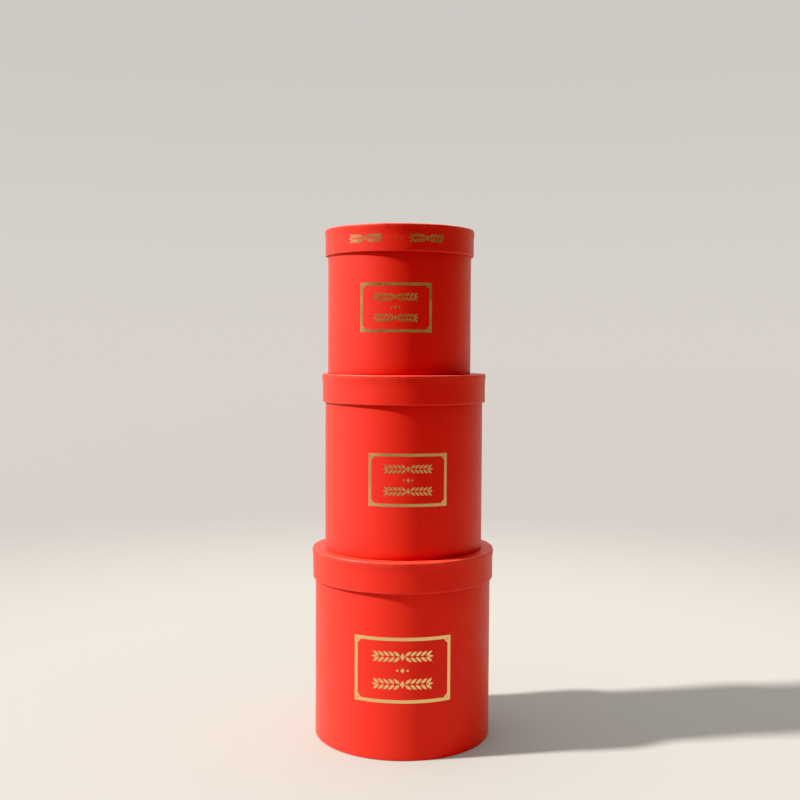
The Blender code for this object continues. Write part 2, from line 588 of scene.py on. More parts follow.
@dataclass(frozen=True)
class Garland:
    """A straight spray of paired leaves that grows outwards from a lozenge."""

    x: float
    y: float
    half_width: float
    height: float
    pairs: int = 5
    lean: float = math.radians(40)
    leaf_slimness: float = 0.37
    tip_share: float = 0.72

    def outlines(self) -> list[list[Point]]:
        """The outlines of its lozenge, its paired leaves and the leaf at each end."""
        gap = 0.045 * self.height
        length = (self.height / 2 - gap) / math.sin(self.lean)
        width = self.leaf_slimness * length
        heart = 0.22 * self.height
        first = heart + 0.04 * self.height
        last = self.half_width - 0.95 * length
        tip_length, tip_width = self.tip_share * length, 0.8 * width
        shapes = [lozenge(self.x, self.y, heart, 0.36 * self.height)]
        for side in (1, -1):
            for pair in range(self.pairs):
                place = self.x + side * (first + (last - first) * pair / (self.pairs - 1))
                for up in (1, -1):
                    angle = up * self.lean if side > 0 else math.pi - up * self.lean
                    shapes.append(leaf(place, self.y + up * gap, length, width, angle))
            tip = self.x + side * (self.half_width - tip_length)
            shapes.append(leaf(tip, self.y, tip_length, tip_width, 0.0 if side > 0 else math.pi))
        return shapes


@dataclass(frozen=True)
class SmallMark:
    """A lozenge between two beads."""

    x: float
    y: float
    half_width: float
    height: float

    def outlines(self) -> list[list[Point]]:
        """The outlines of the lozenge and its beads."""
        bead_radius = 0.22 * self.height
        shapes = [lozenge(self.x, self.y, 0.42 * self.height, 0.5 * self.height)]
        for side in (1, -1):
            place = self.x + side * (self.half_width - bead_radius)
            shapes.append(bead(place, self.y, bead_radius))
        return shapes


@dataclass(frozen=True)
class Border:
    """A rectangular line whose inner corners are cut off, with a lozenge left open in each."""

    width: float
    height: float
    line: float
    set_back: float = 0.12

    def outlines(self) -> list[list[Point]]:
        """The outer outline, then the openings."""
        outer_x, outer_y = self.width / 2, self.height / 2
        inner_x, inner_y = outer_x - self.line, outer_y - self.line
        cut = 1.25 * self.line
        window = []
        for sx, sy in ((1, 1), (-1, 1), (-1, -1), (1, -1)):
            ends = [(sx * inner_x, sy * (inner_y - cut)), (sx * (inner_x - cut), sy * inner_y)]
            window += ends if sx * sy > 0 else ends[::-1]
        outside = [(sx * outer_x, sy * outer_y) for sx, sy in ((1, -1), (1, 1), (-1, 1), (-1, -1))]
        shapes = [outside, window]
        eye = 0.26 * self.line
        eye_x, eye_y = inner_x - self.set_back * cut, inner_y - self.set_back * cut
        for sx in (1, -1):
            for sy in (1, -1):
                shapes.append(lozenge(sx * eye_x, sy * eye_y, eye, eye))
        return shapes


@dataclass
class Foil:
    """Thin foil pressed onto a round surface."""

    name: str
    axis: Axis
    shapes: list[list[Point]]
    centre_angle: float
    centre_height: float
    surface: Callable[[np.ndarray, np.ndarray], np.ndarray]
    radius: float
    thickness: float = 0.07 * MM
    stand: float = 0.025 * MM
    facet: float = 2.0 * MM

    def build(self) -> bpy.types.Object:
        """Cuts the shapes from flat foil and wraps them on the surface.

        Returns:
            The object, standing on its axis.
        """
        flat = self.flat_mesh()
        work = bmesh.new()
        work.from_mesh(flat)
        bpy.data.meshes.remove(flat)
        bmesh.ops.remove_doubles(work, verts=work.verts, dist=0.001 * MM)
        reach = max(abs(x) for shape in self.shapes for x, _ in shape)
        count = math.ceil(reach / self.facet)
        for step in range(-count, count + 1):
            geometry = [*work.verts, *work.edges, *work.faces]
            bmesh.ops.bisect_plane(
                work, geom=geometry, dist=1e-7, plane_co=(step * self.facet, 0, 0), plane_no=(1, 0, 0)
            )
        flat_points = np.array([vertex.co for vertex in work.verts])
        angle = self.centre_angle + flat_points[:, 0] / self.radius
        height = self.centre_height + flat_points[:, 1]
        radius = self.surface(angle, height) + self.stand + flat_points[:, 2] + self.thickness / 2
        for vertex, r, a, z in zip(work.verts, radius, angle, height):
            vertex.co = (r * math.sin(a), -r * math.cos(a), z)
        mesh = bpy.data.meshes.new(self.name)
        work.to_mesh(mesh)
        work.free()
        face_outwards(mesh)
        return stand_on_axis(mesh, self.axis)

    def flat_mesh(self) -> bpy.types.Mesh:
        """The shapes as flat foil of the right thickness, with their openings."""
        curve = bpy.data.curves.new(self.name, "CURVE")
        curve.dimensions = "2D"
        curve.fill_mode = "BOTH"
        curve.extrude = self.thickness / 2
        for shape in self.shapes:
            spline = curve.splines.new("POLY")
            spline.points.add(len(shape) - 1)
            for point, (x, y) in zip(spline.points, shape):
                point.co = (x, y, 0, 1)
            spline.use_cyclic_u = True
        holder = new_object(curve)
        graph = bpy.context.evaluated_depsgraph_get()
        mesh = bpy.data.meshes.new_from_object(holder.evaluated_get(graph))
        bpy.data.objects.remove(holder)
        bpy.data.curves.remove(curve)
        return mesh


# ---------------------------------------------------------------------------------------------
# Materials
# ---------------------------------------------------------------------------------------------


class Graph:
    """A node tree with short ways to add and join nodes."""

    def __init__(self, tree: bpy.types.NodeTree) -> None:
        """Takes a tree to build in."""
        self.tree = tree

    def add(self, kind: str, **values: Any) -> bpy.types.Node:
        """Adds a node.

        Args:
            kind: Blender's name for the node's type.
            **values: Properties of the node, or values of its sockets by their names.

        Returns:
            The node.
        """
        node = self.tree.nodes.new(kind)
        for name, value in values.items():
            if hasattr(node, name):
                setattr(node, name, value)
            else:
                node.inputs[name.replace("_", " ")].default_value = value
        return node

    def join(self, source: bpy.types.NodeSocket, target: bpy.types.NodeSocket) -> None:
        """Links one socket to another."""
        self.tree.links.new(source, target)

    def math(self, operation: str, first: Any, second: Any = 0.0) -> bpy.types.NodeSocket:
        """Does one operation on two values.

        Args:
            operation: Blender's name for the operation.
            first: A socket or a number.
            second: A socket or a number.

        Returns:
            The socket that holds the result.
        """
        node = self.add("ShaderNodeMath", operation=operation)
        for place, value in enumerate((first, second)):
            if isinstance(value, bpy.types.NodeSocket):
                self.join(value, node.inputs[place])
            else:
                node.inputs[place].default_value = value
        return node.outputs[0]

    def spot(self) -> bpy.types.NodeSocket:
        """The spot being looked at, in the piece's own metres."""
        return self.add("ShaderNodeTexCoord").outputs["Object"]

    def toned(self, colour: Colour, tone: bpy.types.NodeSocket) -> bpy.types.NodeSocket:
        """A colour made lighter or darker by a tone about 1."""
        node = self.add("ShaderNodeVectorMath", operation="SCALE")
        node.inputs[0].default_value = colour
        self.join(tone, node.inputs["Scale"])
        return node.outputs[0]

    def noise(self, vector: bpy.types.NodeSocket, scale: float, detail: float) -> bpy.types.NodeSocket:
        """Noise from 0 to 1 at a scale per metre."""
        node = self.add("ShaderNodeTexNoise", Scale=scale, Detail=detail, Roughness=0.55)
        self.join(vector, node.inputs["Vector"])
        return node.outputs["Fac"]

    def spread(
        self, value: bpy.types.NodeSocket, low: float, high: float, out: Point, smooth: bool = False
    ) -> bpy.types.NodeSocket:
        """Maps a value from one range to another.

        Args:
            value: The socket to map.
            low: The value that becomes the first of out.
            high: The value that becomes the second of out.
            out: The range to map to.
            smooth: Whether the mapping eases in and out.

        Returns:
            The socket that holds the mapped value.
        """
        node = self.add("ShaderNodeMapRange", clamp=True)
        node.interpolation_type = "SMOOTHSTEP" if smooth else "LINEAR"
        self.join(value, node.inputs["Value"])
        for name, number in zip(("From Min", "From Max", "To Min", "To Max"), (low, high, *out)):
            node.inputs[name].default_value = number
        return node.outputs["Result"]

    def mix(self, share: bpy.types.NodeSocket, first: Any, second: Any) -> bpy.types.NodeSocket:
        """Mixes two colours.

        Args:
            share: The share of the second colour.
            first: A colour or a socket.
            second: A colour or a socket.

        Returns:
            The socket that holds the mixed colour.
        """
        node = self.add("ShaderNodeMix", data_type="RGBA")
        self.join(share, node.inputs[0])
        for socket, value in ((node.inputs[6], first), (node.inputs[7], second)):
            if isinstance(value, bpy.types.NodeSocket):
                self.join(value, socket)
            else:
                socket.default_value = (*value, 1.0)
        return node.outputs[2]


def new_material(name: str) -> tuple[bpy.types.Material, Graph, bpy.types.Node]:
    """Makes a material, and gives it with its tree and its Principled node."""
    material = bpy.data.materials.new(name)
    material.use_nodes = True
    return material, Graph(material.node_tree), material.node_tree.nodes["Principled BSDF"]


class Effect:
    """A shader node group that several materials share, built the first time it is asked for."""

    name: str
    inputs: tuple[tuple[str, float], ...] = ()
    outputs: tuple[str, ...] = ()

    @classmethod
    def group(cls) -> bpy.types.NodeTree:
        """The node group.

        Returns:
            The group, with its named sockets.
        """
        tree = bpy.data.node_groups.get(cls.name)
        if tree:
            return tree
        tree = bpy.data.node_groups.new(cls.name, "ShaderNodeTree")
        for name, value in cls.inputs:
            socket = tree.interface.new_socket(name, in_out="INPUT", socket_type="NodeSocketFloat")
            socket.default_value = value
        for name in cls.outputs:
            tree.interface.new_socket(name, in_out="OUTPUT", socket_type="NodeSocketFloat")
        graph = Graph(tree)
        source, sink = graph.add("NodeGroupInput"), graph.add("NodeGroupOutput")
        cls.wire(graph, source, sink)
        return tree

    @classmethod
    def wire(cls, graph: Graph, source: bpy.types.Node, sink: bpy.types.Node) -> None:
        """Builds the inside of the group between its inputs and its outputs."""
        raise NotImplementedError

    @classmethod
    def place(cls, graph: Graph, **values: float) -> bpy.types.Node:
        """Puts the group in a material.

        Args:
            graph: The material's tree.
            **values: Values of the group's inputs.

        Returns:
            The group's node.
        """
        node = graph.add("ShaderNodeGroup")
        node.node_tree = cls.group()
        for name, value in values.items():
            node.inputs[name].default_value = value
        return node


class PaperFibre(Effect):
    """Fibres, felt marks and slow cloudiness of uncoated paper."""

    name = "paper_fibre"
    inputs = (("Clouds", 0.05), ("Fibres", 0.05), ("Relief", 1.0))
    outputs = ("Tone", "Roughness", "Height")

    @classmethod
    def wire(cls, graph: Graph, source: bpy.types.Node, sink: bpy.types.Node) -> None:
        """Lays fine fibres over felt marks over clouds."""
        place = graph.spot()
        fibres = graph.noise(place, 1500.0, 4.0)
        felt = graph.noise(place, 330.0, 3.0)
        clouds = graph.noise(place, 16.0, 3.0)
        cloud_tone = graph.math("MULTIPLY", graph.math("SUBTRACT", clouds, 0.5), source.outputs["Clouds"])
        fibre_tone = graph.math("MULTIPLY", graph.math("SUBTRACT", fibres, 0.5), source.outputs["Fibres"])
        tone = graph.math("ADD", graph.math("ADD", cloud_tone, fibre_tone), 1.0)
        graph.join(tone, sink.inputs["Tone"])
        graph.join(graph.spread(felt, 0.3, 0.7, (-0.05, 0.06)), sink.inputs["Roughness"])
        both = graph.math("ADD", graph.math("MULTIPLY", felt, 0.6), graph.math("MULTIPLY", fibres, 0.4))
        graph.join(graph.math("MULTIPLY", both, source.outputs["Relief"]), sink.inputs["Height"])


class FoldWearAndHighlight(Effect):
    """Paper painted paler along folds and cut edges, partly for rubbing and partly as a painted highlight,
    broken up so that it comes and goes.
    """

    name = "fold_wear_and_highlight"
    inputs = (("Amount", 1.0),)
    outputs = ("Mask", "Near")

    @classmethod
    def wire(cls, graph: Graph, source: bpy.types.Node, sink: bpy.types.Node) -> None:
        """Breaks up the mesh's own mask of rubbing and painted highlight with noise."""
        near = graph.add("ShaderNodeAttribute", attribute_name="wear").outputs["Fac"]
        place = graph.spot()
        long_marks = graph.spread(graph.noise(place, 34.0, 4.0), 0.40, 0.66, (0.45, 1.0))
        short_marks = graph.spread(graph.noise(place, 420.0, 3.0), 0.34, 0.62, (0.55, 1.0))
        broken = graph.math("MULTIPLY", long_marks, short_marks)
        graph.join(near, sink.inputs["Near"])
        mask = graph.math("MULTIPLY", graph.math("MULTIPLY", near, broken), source.outputs["Amount"])
        graph.join(mask, sink.inputs["Mask"])


class Handling(Effect):
    """Faint marks left by fingers, which only change how the surface shines."""

    name = "handling"
    inputs = (("Strength", 0.05),)
    outputs = ("Roughness",)

    @classmethod
    def wire(cls, graph: Graph, source: bpy.types.Node, sink: bpy.types.Node) -> None:
        """Makes soft patches a few centimetres across."""
        place = graph.spot()
        patches = graph.spread(graph.noise(place, 38.0, 5.0), 0.42, 0.68, (0.0, -1.0))
        graph.join(graph.math("MULTIPLY", patches, source.outputs["Strength"]), sink.inputs["Roughness"])


class FoilMottle(Effect):
    """Uneven pressing of hot foil: slow changes in tone and small bare flecks."""

    name = "foil_mottle"
    inputs = (("Unevenness", 0.2),)
    outputs = ("Tone", "Roughness", "Bare", "Height")

    @classmethod
    def wire(cls, graph: Graph, source: bpy.types.Node, sink: bpy.types.Node) -> None:
        """Mixes slow waves with fine flecks."""
        place = graph.spot()
        slow = graph.noise(place, 42.0, 3.0)
        fine = graph.noise(place, 900.0, 3.0)
        uneven = graph.math("MULTIPLY", graph.math("SUBTRACT", slow, 0.5), source.outputs["Unevenness"])
        graph.join(graph.math("ADD", uneven, 1.0), sink.inputs["Tone"])
        graph.join(graph.spread(slow, 0.3, 0.7, (-0.06, 0.10)), sink.inputs["Roughness"])
        graph.join(graph.spread(fine, 0.66, 0.74, (0.0, 0.55)), sink.inputs["Bare"])
        graph.join(fine, sink.inputs["Height"])


class BoardFibre(Effect):
    """Pulped board: grey cloud with dark and light specks of the papers it was made from."""

    name = "board_fibre"
    inputs = (("Specks", 1.0),)
    outputs = ("Cloud", "Speck", "Height")

    @classmethod
    def wire(cls, graph: Graph, source: bpy.types.Node, sink: bpy.types.Node) -> None:
        """Scatters specks over a fine cloud."""
        place = graph.spot()
        cloud = graph.noise(place, 140.0, 5.0)
        cells = graph.add("ShaderNodeTexVoronoi", Scale=520.0)
        graph.join(place, cells.inputs["Vector"])
        specks = graph.spread(cells.outputs["Distance"], 0.10, 0.22, (1.0, 0.0))
        graph.join(cloud, sink.inputs["Cloud"])
        graph.join(graph.math("MULTIPLY", specks, source.outputs["Specks"]), sink.inputs["Speck"])
        graph.join(graph.noise(place, 1100.0, 4.0), sink.inputs["Height"])


@dataclass(frozen=True)
class Finish:
    """A material with a Principled surface."""

    name: str
    roughness: float
    bump: float
    bump_depth: float = 0.06 * MM

    def material(self) -> bpy.types.Material:
        """The finished material.

        Returns:
            A new material, wired for this finish.
        """
        material, graph, shader = new_material(self.name)
        shader.inputs["Roughness"].default_value = self.roughness
        self.dress(graph, shader)
        return material

    def dress(self, graph: Graph, shader: bpy.types.Node) -> None:
        """Wires the finish's own colour, roughness and relief into the shader."""
        raise NotImplementedError

    def emboss(self, graph: Graph, shader: bpy.types.Node, height: bpy.types.NodeSocket) -> None:
        """Puts a fine relief on the surface.

        Args:
            graph: The material's tree.
            shader: Its Principled node.
            height: The relief, from 0 to 1.
        """
        bump = graph.add("ShaderNodeBump", Strength=self.bump, Distance=self.bump_depth)
        graph.join(height, bump.inputs["Height"])
        graph.join(bump.outputs["Normal"], shader.inputs["Normal"])


@dataclass(frozen=True)
class CoveringPaper(Finish):
    """Dyed paper, painted paler where it folds: partly rubbing, partly a painted highlight."""

    colour: Colour = (0.0, 0.0, 0.0)
    rubbed_and_highlight: Colour = (0.0, 0.0, 0.0)
    wear: float = 0.5
    clouds: float = 0.06
    fibres: float = 0.06
    sheen: float = 0.0
    sheen_tint: Colour = (1.0, 1.0, 1.0)
    shine: float = 0.5
    polish: float = 0.0

    def dress(self, graph: Graph, shader: bpy.types.Node) -> None:
        """Tints the colour by its fibres, then paler at the folds for rubbing and a painted highlight."""
        fibre = PaperFibre.place(graph, Clouds=self.clouds, Fibres=self.fibres)
        worn = FoldWearAndHighlight.place(graph, Amount=self.wear)
        marks = Handling.place(graph, Strength=0.07)
        tint = graph.toned(self.colour, fibre.outputs["Tone"])
        # Painted highlight and rubbing: the folds are mixed toward a paler colour.
        colour = graph.mix(worn.outputs["Mask"], tint, self.rubbed_and_highlight)
        graph.join(colour, shader.inputs["Base Color"])
        rough = graph.math("ADD", fibre.outputs["Roughness"], self.roughness)
        rough = graph.math("ADD", rough, marks.outputs["Roughness"])
        polish = graph.math("MULTIPLY", worn.outputs["Near"], self.polish)
        graph.join(graph.math("SUBTRACT", rough, polish), shader.inputs["Roughness"])
        shader.inputs["Specular IOR Level"].default_value = self.shine
        shader.inputs["Sheen Weight"].default_value = self.sheen
        shader.inputs["Sheen Roughness"].default_value = 0.55
        shader.inputs["Sheen Tint"].default_value = (*self.sheen_tint, 1.0)
        self.emboss(graph, shader, fibre.outputs["Height"])


@dataclass(frozen=True)
class HotFoil(Finish):
    """Metal foil that takes the paper's grain and shows it where it pressed thin."""

    colour: Colour = (0.0, 0.0, 0.0)
    beneath: Colour = (0.0, 0.0, 0.0)

    def dress(self, graph: Graph, shader: bpy.types.Node) -> None:
        """Lets the paper show through the foil's flecks."""
        mottle = FoilMottle.place(graph, Unevenness=0.16)
        tint = graph.toned(self.colour, mottle.outputs["Tone"])
        colour = graph.mix(mottle.outputs["Bare"], tint, self.beneath)
        graph.join(colour, shader.inputs["Base Color"])
        graph.join(graph.math("SUBTRACT", 1.0, mottle.outputs["Bare"]), shader.inputs["Metallic"])
        rough = graph.math("ADD", mottle.outputs["Roughness"], self.roughness)
        graph.join(rough, shader.inputs["Roughness"])
        self.emboss(graph, shader, mottle.outputs["Height"])


@dataclass(frozen=True)
class RawBoard(Finish):
    """Uncovered board or tape, clouded and specked."""

    dark: Colour = (0.0, 0.0, 0.0)
    light: Colour = (0.0, 0.0, 0.0)
    speck: Colour = (0.0, 0.0, 0.0)
    specks: float = 0.6

    def dress(self, graph: Graph, shader: bpy.types.Node) -> None:
        """Mixes the two tones, then the specks."""
        fibre = BoardFibre.place(graph, Specks=self.specks)
        cloud = graph.spread(fibre.outputs["Cloud"], 0.3, 0.7, (0.0, 1.0))
        base = graph.mix(cloud, self.dark, self.light)
        graph.join(graph.mix(fibre.outputs["Speck"], base, self.speck), shader.inputs["Base Color"])
        self.emboss(graph, shader, fibre.outputs["Height"])


# The paler fold colour stands partly for rubbing and partly for a painted highlight on the folds, strongest
# along the lid's top edge.
RED = CoveringPaper(
    "red_covering_paper",
    roughness=0.50,
    bump=0.5,
    colour=(0.61, 0.0185, 0.0135),
    rubbed_and_highlight=(0.76, 0.125, 0.085),
    wear=0.55,
    clouds=0.08,
    fibres=0.10,
    sheen=0.14,
    sheen_tint=(1.0, 0.52, 0.24),
    shine=0.25,
    polish=0.05,
)
LINING = CoveringPaper(
    "lining_paper",
    roughness=0.72,
    bump=0.5,
    colour=(0.80, 0.765, 0.70),
    rubbed_and_highlight=(0.90, 0.88, 0.84),
    wear=0.25,
    clouds=0.05,
    fibres=0.12,
    shine=0.3,
)
GOLD = HotFoil(
    "gold_foil", roughness=0.25, bump=0.15, colour=(0.84, 0.555, 0.23), beneath=(0.45, 0.08, 0.03)
)
GREYBOARD = RawBoard(
    "greyboard",
    roughness=0.92,
    bump=0.6,
    bump_depth=0.08 * MM,
    dark=(0.27, 0.25, 0.22),
    light=(0.40, 0.375, 0.33),
    speck=(0.10, 0.095, 0.085),
)
KRAFT = RawBoard(
    "kraft_tape",
    roughness=0.78,
    bump=0.4,
    dark=(0.40, 0.25, 0.13),
    light=(0.52, 0.345, 0.19),
    speck=(0.30, 0.17, 0.08),
    specks=0.35,
)


@dataclass
class Wardrobe:
    """The materials, made once for each slot."""

    made: dict[Slot, bpy.types.Material] = field(default_factory=dict)

    FINISHES = {
        Slot.RED_PAPER: RED,
        Slot.LINING: LINING,
        Slot.GREYBOARD: GREYBOARD,
        Slot.KRAFT: KRAFT,
        Slot.GOLD: GOLD,
    }

    def get(self, slot: Slot) -> bpy.types.Material:
        """The material for a slot."""
        if slot not in self.made:
            self.made[slot] = self.FINISHES[slot].material()
        return self.made[slot]

    def dress_node(self, node: str, slot: Slot) -> None:
        """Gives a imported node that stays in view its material."""
        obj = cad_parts[node]
        obj.data.materials.clear()
        obj.data.materials.append(self.get(slot))
        log.info("%s keeps its shape, in %s", node, slot.value)


# ---------------------------------------------------------------------------------------------
# Hat boxes
# ---------------------------------------------------------------------------------------------


@dataclass
class HatBox:
    """One hat box: the papers, lining and foil of its body and its lid."""

    size: str
    wardrobe: Wardrobe
    seed: int
    fold: float = 0.8 * MM
    edge_fold: float = 1.7 * MM
    swell_depth: float = 0.07 * MM
    axis: Axis = field(init=False)
    paper: float = field(init=False)
    stands_on: float = field(init=False)

    def __post_init__(self) -> None:
        """Reads the box's axis, the thickness of its papers and the height that it stands at."""
        self.axis = Axis.of_box(self.size)
        base = self.outline_of("base_paper")
        self.paper = base.top - base.bottom
        below = [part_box(f"{size}_lid_top_paper")[1].z for size in SIZES]
        self.stands_on = max((top for top in below if top < base.bottom), default=0.0)

    def outline_of(self, node: str) -> Turned:
        """The outline of one of this box's nodes."""
        return Turned.of_node(f"{self.size}_{node}", self.axis)

    def finish(self, obj: bpy.types.Object, part: Part, slot: Slot, *nodes: str) -> None:
        """Gives a piece its material and its place in the model.

        Args:
            obj: The piece.
            part: The half of the hat box that it rides on.
            slot: The record's material slot that it is made of.
            *nodes: This box's nodes that it stands for, without the box's name, if any.
        """
        obj.data.materials.append(self.wardrobe.get(slot))
        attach(obj, f"{self.size}_{part.value}")
        if nodes:
            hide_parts(*(f"{self.size}_{node}" for node in nodes))
        log.info("%s: %d faces, in %s", obj.name, len(obj.data.polygons), slot.value)

    def sheet(
        self, name: str, outline: Outline, relief: Relief, part: Part, slot: Slot, node: str, **mesh: Any
    ) -> None:
        """Makes a round sheet of paper in place of a packed one.

        Args:
            name: The piece's name, without the box's.
            outline: The path of its section.
            relief: The relief of its face.
            part: The half of the hat box that it rides on.
            slot: The record's material slot that it is made of.
            node: This box's node that it stands for, without the box's name.
            **mesh: The sheet's columns and its folds and edges that are painted paler, for rubbing and a
                    painted highlight.
        """
        sheet = RoundSheet(f"{self.size}_{name}", self.axis, outline, self.paper, relief, **mesh)
        self.finish(sheet.build(), part, slot, node)

    def disc(
        self, name: str, relief: DiscRise, part: Part, slot: Slot, node: str, face_up: bool = False
    ) -> None:
        """Makes a flat round sheet in place of a packed one.

        Args:
            name: The piece's name, without the box's.
            relief: The relief of its face.
            part: The half of the hat box that it rides on.
            slot: The record's material slot that it is made of.
            node: This box's node that it stands for, without the box's name.
            face_up: Whether its face is its upper side.
        """
        flat = self.outline_of(node)
        middle = (flat.bottom + flat.top) / 2
        outline = Outline.folded([(0.0, middle), (flat.widest, middle)], self.fold, (6 * MM,))
        outline = outline if face_up else outline.flipped()
        self.sheet(name, outline, relief, part, slot, node, columns=144, worn=(flat.widest,))

    def build(self) -> None:
        """Builds every piece of the hat box."""
        body = BoxBody(self)
        body.covering()
        body.base()
        body.lining()
        body.label()
        lid = BoxLid(self)
        lid.top()
        lid.rim()
        lid.lining()
        if self.size == "small":
            lid.rim_band()
        for node in ("wall_board", "base_board", "lid_board", "lid_rim_board"):
            self.wardrobe.dress_node(f"{self.size}_{node}", Slot.GREYBOARD)
        for node in ("wall_joint_tape", "lid_rim_joint_tape"):
            self.wardrobe.dress_node(f"{self.size}_{node}", Slot.KRAFT)


@dataclass
class BoxBody:
    """The open box below the lid, with its label's rows and mark as shares of the label's size."""

    box: HatBox
    under_turn: float = 12 * MM
    turn_in: float = 18 * MM
    foot_gap: float = 0.1 * MM
    foot_width: float = 4 * MM
    tabs: int = 36
    tab_rise: float = 0.14 * MM
    row_offset: float = 0.21
    row_height: float = 0.168
    row_reach: float = 0.312
    mark_height: float = 0.078
    mark_reach: float = 0.063

    def __post_init__(self) -> None:
        """Reads the covering paper's outline and sets the relief of its surface."""
        self.wrap = self.box.outline_of("outer_wrap")
        self.swell = Swell(self.box.swell_depth, self.box.seed)
        self.overlap = Overlap(self.wrap.widest)

    def surface(self, angle: np.ndarray, height: np.ndarray) -> np.ndarray:
        """Radius of the covering paper's outside."""
        return self.wrap.widest + self.swell(angle, height)

    def covering(self) -> None:
        """The covering paper, from inside the mouth, over the edge, down and under the base."""
        box, half = self.box, self.box.paper / 2
        outer, top, bottom = self.wrap.widest, self.wrap.top, self.wrap.bottom
        inner = box.outline_of("wall_liner").widest + GLUE_GAP + half
        corners = [
            (inner, top - self.turn_in),
            (inner, top - half),
            (outer - half, top - half),
            (outer - half, box.stands_on + self.foot_gap + half),
            (outer - self.foot_width, bottom + half),
            (outer - self.under_turn, bottom + half),
        ]
        outline = Outline.folded(corners, box.fold, (2.2 * MM, 1 * MM, 6 * MM, 1.3 * MM, 1.5 * MM))
        puckers = Pleats(inner, 0.10 * MM, box.seed + 5, spacing=(4 * MM, 9 * MM))
        edge, mouth, foot = outline.folds[:3]

        def relief(at: Spots) -> np.ndarray:
            """Swell and overlap outside, puckers inside the mouth and tabs under the base."""
            outside = ramp(at.along, mouth, 4 * MM) * (1 - ramp(at.along, foot - 2 * MM, 2 * MM))
            inside = 1 - ramp(at.along, edge - 12 * MM, 10 * MM)
            under = ramp(at.along, foot + 1 * MM, 2 * MM)
            tab = np.mod(at.angle * self.tabs / (2 * math.pi), 1.0)
            tab_relief = self.tab_rise * smoothstep(tab * 12) * (1 - tab)
            face = self.swell(at.angle, at.height) + self.overlap(at.angle)
            return outside * face + inside * abs(puckers(at.angle)) + under * tab_relief

        box.sheet(
            "covering_paper",
            outline,
            relief,
            Part.BOX,
            Slot.RED_PAPER,
            "outer_wrap",
            columns=216,
            extra_columns=self.overlap.columns(),
            worn=(outline.along[0], edge, mouth),
        )

    def base(self) -> None:
        """The round paper that hides the turned-under edge, and never bulges down."""
        rise = DiscRise(Swell(0.03 * MM, self.box.seed + 1), inward_only=True)
        self.box.disc("base_sheet", rise, Part.BOX, Slot.RED_PAPER, "base_paper")

    def lining(self) -> None:
        """The linings of the wall and the floor."""
        box = self.box
        wall = box.outline_of("wall_liner")
        middle = wall.widest - box.paper / 2
        path = [(middle, wall.bottom), (middle, wall.top)]
        outline = Outline.folded(path, box.fold, (9 * MM,))
        swell = Swell(0.03 * MM, box.seed + 2)
        overlap = Overlap(middle)

        def wall_relief(at: Spots) -> np.ndarray:
            """Swell, with the lining's end lapped over its start on the inside."""
            return swell(at.angle, at.height) + overlap(-at.angle)

        box.sheet(
            "wall_lining",
            outline,
            wall_relief,
            Part.BOX,
            Slot.LINING,
            "wall_liner",
            columns=180,
            extra_columns=[2 * math.pi - angle for angle in overlap.columns()],
            worn=(wall.top - wall.bottom,),
        )
        rise = DiscRise(Swell(0.035 * MM, box.seed + 3))
        box.disc("floor_lining", rise, Part.BOX, Slot.LINING, "floor_liner", face_up=True)

    def label(self) -> None:
        """The foil label on the front: a border round two garlands and a small mark."""
        box = self.box
        x, y, z = node_points(f"{box.size}_label_frame").T
        low, high = z.min(), z.max()
        height = high - low
        radius = self.wrap.widest
        angle = np.arctan2(x - box.axis.x, box.axis.y - y) - box.axis.turn
        width = 2 * radius * float(abs(angle).max())
        above_foot = z - low
        line = float(above_foot[above_foot > 0.01 * height].min())
        shapes = Border(width, height, line).outlines()
        offset, row_height = self.row_offset * height, self.row_height * height
        for side in (1, -1):
            shapes += Garland(0.0, side * offset, self.row_reach * width, row_height).outlines()
        shapes += SmallMark(0.0, 0.0, self.mark_reach * width, self.mark_height * height).outlines()
        foil = Foil(f"{box.size}_label_foil", box.axis, shapes, 0.0, (low + high) / 2, self.surface, radius)
        box.finish(foil.build(), Part.BOX, Slot.GOLD, "label_frame")


